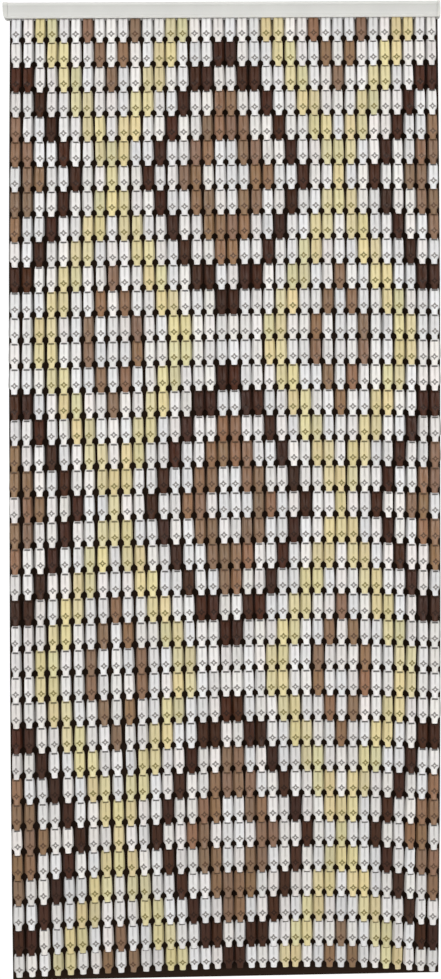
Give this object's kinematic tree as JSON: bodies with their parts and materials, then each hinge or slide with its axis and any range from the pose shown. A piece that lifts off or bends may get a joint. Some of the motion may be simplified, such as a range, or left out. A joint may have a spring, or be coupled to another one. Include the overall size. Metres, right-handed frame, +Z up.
{
  "type": "fly screen curtain with rail",
  "caption": "Door curtain of moulded plastic links hung in strands from a plain wall rail with end caps, coloured in a lozenge pattern; it keeps insects out of an open doorway.",
  "frame": {"origin": "middle of the rail's flat back, which lies against the wall", "axes": "+Z up, +Y into the wall, so the curtain faces -Y, and +X to the right as seen from the front"},
  "size_m": [0.9, 0.021, 2.016],
  "materials": {
    "rail": "satin pale grey",
    "end_cap": "satin pale grey",
    "links": "pearl white, with pale yellow, tan and dark brown links set in a lozenge pattern"
  },
  "bodies": {
    "root": {"rail": "rail", "end_cap_left": "end_cap", "end_cap_right": "end_cap", "strands_left": "links", "strands_right": "links"}
  },
  "joints": []
}
